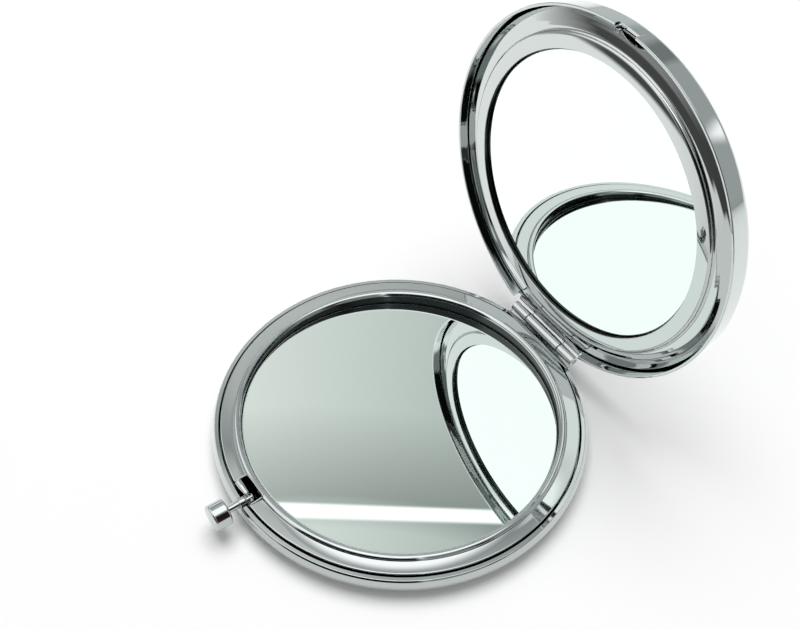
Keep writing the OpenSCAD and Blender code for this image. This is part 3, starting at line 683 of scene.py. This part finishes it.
class COMPACT_OT_frames(bpy.types.Operator):
    """Makes the rings round both mirrors: bead, step, skirts, latch pocket and crescent"""
    bl_idname = "compact.frames"
    bl_label = "Frames"

    def execute(self, context):
        shape = context.scene.compact_shape
        # The second, dark plate is painted shade down the well walls
        chrome = [bpy.data.materials[name]
                  for name in ("bright_chrome_plate", "thin_plate_in_the_well")]
        edge = shape.ring_round / MM
        # Base ring: skirt, flat face, hollow foot, half-round bead, well wall, ledge, back below
        foot = np.degrees(np.arctan2(0.206, 0.748))
        outline = rounded_corners([
            (31.504, 1.26, 0.05), (31.504, 5.0, edge),
            *with_rounds(arc((29.302, 5.12), 0.12, -90, -180 + foot, 5)),
            *with_rounds(arc((BEAD_R, BEAD_Z), BEAD_ROUND, foot, 180, 24)[1:]),
            (27.898, 2.9, 0.06), (26.398, 2.9, 0.1), (26.398, 2.5, 0.1), (28.298, 2.5, 0.1),
            *with_rounds(arc((BEAD_R, BEAD_Z), 0.256, 180, 0, 12)), (28.81, 4.6, 0.0),
            (31.104, 4.6, 0.1), (31.104, 1.26, 0.05)])
        points = lathe(outline, shape.columns, pair(-6.2, 6.2), pair(*POCKET_X))
        x, y, z = np.moveaxis(points, -1, 0)
        r = np.hypot(x, y)
        low = leaned(points)[..., 2] - z
        z = z + np.where(r < 28.4, low * np.clip((3.6 - z) / 0.6, 0, 1), 0)
        y = np.where(r > 30.8, np.minimum(y, r - 0.6), y)
        pocket = (y < 0) & (x > POCKET_X[0]) & (x < POCKET_X[1]) & (r > 28.6)
        z = np.where(pocket & (r > 30.9), np.maximum(z, 4.55), z)
        y = np.where(pocket, np.maximum(y, np.where((r < 31.3) & (z < 4.9), POCKET_Y, -28.894)), y)
        # Rows down the base well wall take the dark plate: painted shade
        well_shade_rows = (outline[:, 0] < 27.91) & (outline[:, 1] < 4.95)
        # The pocket's rolled lip: a tube along its edge, which turns its corners in arcs and
        # runs over the ring's face and the bead
        left, right = POCKET_X
        corner, tube_r, open_y = 0.35, 0.15, -31.2
        path = np.concatenate([
            [(left, open_y)], arc((left + corner, POCKET_Y - corner), corner, 180, 90, 8),
            [((left + right) / 2, POCKET_Y)],
            arc((right - corner, POCKET_Y - corner), corner, 90, 0, 8), [(right, open_y)]])
        run = np.gradient(path, axis=0)
        side = np.stack([-run[:, 1], run[:, 0]], -1) / np.linalg.norm(run, axis=1)[:, None]
        bulge = BEAD_ROUND ** 2 - (np.hypot(*path.T) - BEAD_R) ** 2
        height = np.maximum(5.0, BEAD_Z + np.sqrt(np.maximum(bulge, 0)))
        b = np.linspace(0, 2 * np.pi, 16, endpoint=False)[None]
        tube = np.stack([path[:, :1] + tube_r * side[:, :1] * np.cos(b),
                         path[:, 1:] + tube_r * side[:, 1:] * np.cos(b),
                         height[:, None] + tube_r * np.sin(b)], -1)
        caps = tube[[0, -1]].mean(1, keepdims=True) + 0 * tube[[0, -1]]
        tube = np.concatenate([caps[:1], tube, caps[1:]])
        build("base_ring_plated", chrome, [(np.stack([x, y, z], -1), True, True, well_shade_rows),
                                           (tube, False, True, None)],
              "base", "base_frame")
        # Lid ring, face down: skirt, face, hollow foot, round shoulder, slope, well wall, ledge
        outline = rounded_corners([
            (31.504, 1.7, 0.05), (31.504, 0.44, 0.1),
            *((28.373 + 2.927 * t, -0.25 + 0.36 * t + 0.296 * t * t
               - 0.003 * np.sin(6 * np.pi * t), 0) for t in np.linspace(1, 0, 40)),
            *with_rounds(arc((28.373, -0.75), 0.5, 90, 150, 8)[1:]),
            *with_rounds(arc((27.348, -0.35), 0.6, -15, -84, 10)),
            (25.198, -1.1, shape.lip_round / MM), (25.198, 1.0, 0.05), (23.698, 1.0, 0.1),
            (23.698, 1.4, 0.1), (25.598, 1.4, 0.1), (25.598, -0.8, 0.1), (27.348, -0.3, 0.1),
            (28.373, 0.4, 0.1), (31.104, 0.4, 0.1), (31.104, 1.7, 0.05)])
        outline[:, 1] += 6.25
        points = lathe(outline, shape.columns, pair(-6.2, 6.2), np.linspace(-3.3, 5.6, 48))
        x, y, z = np.moveaxis(points, -1, 0)
        r = np.hypot(x, y)
        y = np.where((r > 30.8), np.minimum(y, r - 0.6), y)
        reach = np.where((r < 31.3) & (z > 6.5), 6.9, 6.75)
        bite = CRESCENT_Y + np.sqrt(np.maximum(reach ** 2 - (x - CRESCENT_X) ** 2, 0))
        inside = (y < 0) & (np.hypot(x - CRESCENT_X, y - CRESCENT_Y) < reach)
        y = np.where(inside, bite, y)
        # Rows down the lid well wall take the dark plate: painted shade
        well_shade_rows = (outline[:, 0] < 25.21) & (outline[:, 1] > 5.12)
        build("lid_ring_plated", chrome,
              [(opened(np.stack([x, y, z], -1)), True, True, well_shade_rows)],
              "lid", "lid_frame")
        return {"FINISHED"}


class COMPACT_OT_mirrors(bpy.types.Operator):
    """Makes both mirror glasses, the adhesive rings behind them and the foam discs"""
    bl_idname = "compact.mirrors"
    bl_label = "Mirrors"

    def execute(self, context):
        shape = context.scene.compact_shape
        glass = [bpy.data.materials[name]
                 for name in ("silvered_glass", "ground_glass_edge", "mirror_backing_paint")]
        tape, foam = bpy.data.materials["paper_tape"], bpy.data.materials["closed_cell_foam"]
        bevel = shape.glass_bevel / MM
        halves = {"base": (27.748, 4.2, -1, leaned), "lid": (25.048, 5.95, 1, opened)}
        for half, (radius, face_z, down, placed) in halves.items():
            # Slab: silvered face, ground bevel, ground side and painted back
            outline = np.array([(r, 0) for r in (0, 9, 18, radius - 2)]
                               + [(radius - bevel - 0.03, 0), (radius - bevel, 0),
                                  (radius, bevel), (radius, 1.1), (radius - 0.5, 1.1), (0, 1.1)])
            rows = [0, 0, 0, 0, 0, 1, 1, 2, 2]
            outline[:, 1] = face_z + down * outline[:, 1]
            build(f"{half}_mirror_glass", glass,
                  [(placed(lathe(outline, shape.columns)), True, False, rows)],
                  half, f"{half}_mirror", sharp_deg=20)
            # Adhesive ring with soft edges, laid on the ledge
            z0 = face_z + down * 1.1
            outline = rounded_corners([(radius - 1.35, z0, 0.06), (radius, z0, 0.06),
                                       (radius, z0 + down * 0.2, 0.06),
                                       (radius - 1.35, z0 + down * 0.2, 0.06)])
            build(f"{half}_adhesive_ring", [tape],
                  [(placed(lathe(outline, shape.columns)), True, True, None)],
                  half, f"{half}_mirror_tape")
            # Foam disc: a round pad, r = R |cos t|^p and z = middle + half height |sin t|^p
            t = np.linspace(-np.pi / 2, np.pi / 2, 41)
            back_z = {"base": 0.5, "lid": 9.15}[half]
            mid, high = (z0 + back_z) / 2, abs(z0 - back_z) / 2 - 0.02
            outline = np.stack([(radius - 2.75) * np.cos(t).clip(0) ** shape.foam_square,
                                mid + high * np.sign(t) * np.abs(np.sin(t)) ** shape.foam_square],
                               -1)
            points = lathe(outline, 120)
            if half == "base":
                drop = leaned(points)[..., 2] - points[..., 2]
                points[..., 2] += drop * np.clip((points[..., 2] - 0.5) / 2.6, 0, 1)
            else:
                points = opened(points)
            disc = build(f"{half}_foam_disc", [foam], [(points, True, False, None)],
                         half, f"{half}_backing")
        return {"FINISHED"}


class COMPACT_OT_hinge(bpy.types.Operator):
    """Makes both hinge leaves with rolled knuckles, and the pin through them"""
    bl_idname = "compact.hinge"
    bl_label = "Hinge"

    def execute(self, context):
        chrome = bpy.data.materials["bright_chrome_plate"]
        steel = bpy.data.materials["drawn_steel"]
        knuckle_round = context.scene.compact_shape.knuckle_round / MM

        def knuckle(start, length):
            return along(rounded_corners([(0, 0.53, 0.04), (0, 1.05, knuckle_round),
                                          (length, 1.05, knuckle_round), (length, 0.53, 0.04)]),
                         "x", start)

        def plate(low, high):
            return rounded_box(low, high, 0.08)

        grids = [plate((-8.5, 30.954, 4.25), (8.5, 31.254, 5.0)),
                 plate((-4, 30.954, 1.263), (4, 31.254, 4.4)),
                 plate((-8.5, 30.954, 4.25), (8.5, 31.75, 4.55)),
                 plate((-8.5, 30.954, 4.25), (-4.48, 33, 4.55)),
                 plate((4.48, 30.954, 4.25), (8.5, 33, 4.55))]
        build("base_leaf_rolled", [chrome],
              [(knuckle(start, 4.02), True, True, None) for start in (-8.5, 4.48)]
              + [(points, True, False, None) for points in grids],
              "base", "base_hinge_leaf")
        grids = [plate((-8.5, 30.954, 6.05), (8.5, 31.254, 6.55)),
                 plate((-4, 30.954, 6.2), (4, 31.254, 7.95)),
                 plate((-8.5, 30.954, 6.05), (8.5, 31.75, 6.35)),
                 plate((-4.4, 30.954, 6.05), (4.4, 33, 6.35))]
        build("lid_leaf_rolled", [chrome],
              [(opened(knuckle(-4.4, 8.8)), True, True, None)]
              + [(opened(points), True, False, None) for points in grids],
              "lid", "lid_hinge_leaf")
        outline = rounded_corners([(0, 0, 0), (0, 0.5, 0.12), (17, 0.5, 0.12), (17, 0, 0)])
        build("hinge_pin_drawn", [steel], [(along(outline, "x", -8.5), True, False, None)],
              "base", "hinge_pin")
        return {"FINISHED"}


class COMPACT_OT_latch(bpy.types.Operator):
    """Makes the push button, its rod and bush, the curled hook, the spring and the lid's catch"""
    bl_idname = "compact.latch"
    bl_label = "Latch"

    def execute(self, context):
        shape = context.scene.compact_shape
        chrome = bpy.data.materials["bright_chrome_plate"]
        brass = bpy.data.materials["turned_brass"]
        # Knob: a short turned cylinder with rounded edges and a faintly domed face
        dome = [(3.0 - 0.06 * (r / 2) ** 2, r, 0) for r in (1.9, 1.4, 0.9, 0.4, 0)]
        outline = rounded_corners([(0, 0, 0), (0, 2.35, shape.knob_round / MM),
                                   (2.92, 2.35, shape.knob_round / MM), *dome])
        build("push_knob", [chrome], [(along(outline, "y", 35.0), True, False, None)],
              "button", "button_knob")
        outline = rounded_corners([
            (0, 0, 0), (0, 0.65, 0.15), (0.25, 0.65, 0.05), (0.25, 0.4, 0.03),
            (1.575, 0.4, 0.03), (1.575, 0.65, 0.05), (6.9, 0.65, 0.05), (6.9, 0, 0)])
        build("knob_rod", [chrome], [(along(outline, "y", 30.079), True, False, None)],
              "button", "button_rod")
        # Bush: plated outside, bare brass in its bore
        outline = rounded_corners([(0, 0.68, 0.05), (0, 0.88, 0.06), (1.1, 0.88, 0.06),
                                   (1.1, 0.68, 0.05)])
        bare = ((outline[:, 1] < 0.74) & (np.roll(outline[:, 1], -1) < 0.74)).astype(int)
        build("rod_bush_turned", [chrome, brass],
              [(along(outline, "y", 31.654), True, True, bare)],
              "base", "rod_bush")
        # Hook: one strip, up the plate and over into a curl with an open eye
        eye = shape.curl_eye / MM
        rise = np.linspace(1.0, 4.9, 12)
        outer = np.concatenate([np.stack([0 * rise - 30.354, rise], -1), [(-30.22, 5.1)],
                                arc((-30.764, 5.3), 0.59, 0, 180, 26)])
        inner = np.concatenate([np.stack([0 * rise - 30.754, rise], -1), [(-30.6, 5.1)],
                                arc((-30.764, 5.3), eye, 0, 180, 26)])
        middle = (outer + inner) / 2
        ends = [(-3.55, 0), (-3.55, 0.7), (-3.52, 0.9), (-3.46, 1)]
        ends += [(x, 1) for x in np.linspace(-3.4, 0.65, 40)]
        ends += [(0.71, 1), (0.77, 0.9), (0.8, 0.7), (0.8, 0)]
        stations, share = np.array(ends).T[:, :, None, None]
        loop = np.concatenate([outer, inner[::-1]])
        core = np.concatenate([middle, middle[::-1]])
        section = core + share * (loop - core)
        # The curl shrinks towards the plate's top, slowly at first and then beside the rod
        taper = np.interp(stations, [-2.4, -0.7, -0.35, 0.8], [1, 0.75, 0.2, 0.16])
        top = np.array([-30.554, 4.9])
        section = np.where(loop[None, :, 1:] > 4.9, top + (section - top) * taper, section)
        points = np.concatenate([stations + 0 * section[..., :1], section], -1)
        build("curled_hook", [chrome], [(points, False, True, None)],
              "button", "latch_hook")
        # Spring: a wire of radius w round the helix (r cos a, p a, r sin a), closed at both ends
        a = np.concatenate([[0], np.radians(np.linspace(0, 1440, 121)), [4 * 2 * np.pi]])
        rise = np.concatenate([[0], 0.22 + 0.7 * a[1:-1] / (2 * np.pi), [SPRING_LONG]])
        path = np.stack([-1.375 - 0.6 * np.cos(a), SPRING_Y - rise, 1.43 + 0.6 * np.sin(a)], -1)
        run = np.gradient(path, axis=0)
        run /= np.linalg.norm(run, axis=1)[:, None]
        out = np.stack([-np.cos(a), 0 * a, np.sin(a)], -1)
        across = np.cross(run, out)
        across /= np.linalg.norm(across, axis=1)[:, None]
        out = np.cross(across, run)
        b = np.linspace(0, 2 * np.pi, 14, endpoint=False)[None, :, None]
        ring = 0.11 * (np.cos(b) * out[:, None] + np.sin(b) * across[:, None])
        points = path[:, None] + ring
        points = np.concatenate([path[:1, None] + 0 * points[:1], points,
                                 path[-1:, None] + 0 * points[-1:]])
        # The spring takes the darkened brass: painted shade inside the latch pocket
        wire = bpy.data.materials["dulled_brass_wire"]
        spring = build("return_coil", [wire], [(points, False, True, None)],
                       "base", "return_spring")
        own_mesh(spring)
        plates = [((-2.1, -31.704, 5.805), (2.1, -31.454, 6.805)),
                  ((-2.1, -31.704, 4.95), (-1.08, -31.454, 5.9)),
                  ((-2.1, -31.704, 4.95), (-1.08, -31.054, 5.2))]
        build("lid_catch_lip", [chrome],
              [(opened(rounded_box(low, high, 0.07)), True, False, None) for low, high in plates],
              "lid", "lid_catch")
        return {"FINISHED"}


class COMPACT_PT_panel(bpy.types.Panel):
    """Lists the compact mirror's sizes, colours and steps"""
    bl_idname = "COMPACT_PT_panel"
    bl_label = "Compact mirror"
    bl_space_type = "VIEW_3D"
    bl_region_type = "UI"
    bl_category = "Compact"

    def draw(self, context):
        for group in (context.scene.compact_colours, context.scene.compact_shape,
                      context.scene.compact_studio):
            box = self.layout.box()
            for name in group.__annotations__:
                box.prop(group, name)
        for operator in OPERATORS:
            self.layout.operator(operator.bl_idname)


OPERATORS = (COMPACT_OT_stage, COMPACT_OT_plating, COMPACT_OT_shells, COMPACT_OT_frames,
             COMPACT_OT_mirrors, COMPACT_OT_hinge, COMPACT_OT_latch)
CLASSES = (CompactColours, CompactShape, CompactStudio, *OPERATORS, COMPACT_PT_panel)


def register():
    for made in CLASSES:
        bpy.utils.register_class(made)
    bpy.types.Scene.compact_colours = bpy.props.PointerProperty(type=CompactColours)
    bpy.types.Scene.compact_shape = bpy.props.PointerProperty(type=CompactShape)
    bpy.types.Scene.compact_studio = bpy.props.PointerProperty(type=CompactStudio)


def unregister():
    del bpy.types.Scene.compact_studio
    del bpy.types.Scene.compact_shape
    del bpy.types.Scene.compact_colours
    for made in reversed(CLASSES):
        bpy.utils.unregister_class(made)


def main():
    register()
    for operator in OPERATORS:
        getattr(bpy.ops.compact, operator.bl_idname.split(".")[1])()


if __name__ == "__main__":
    main()
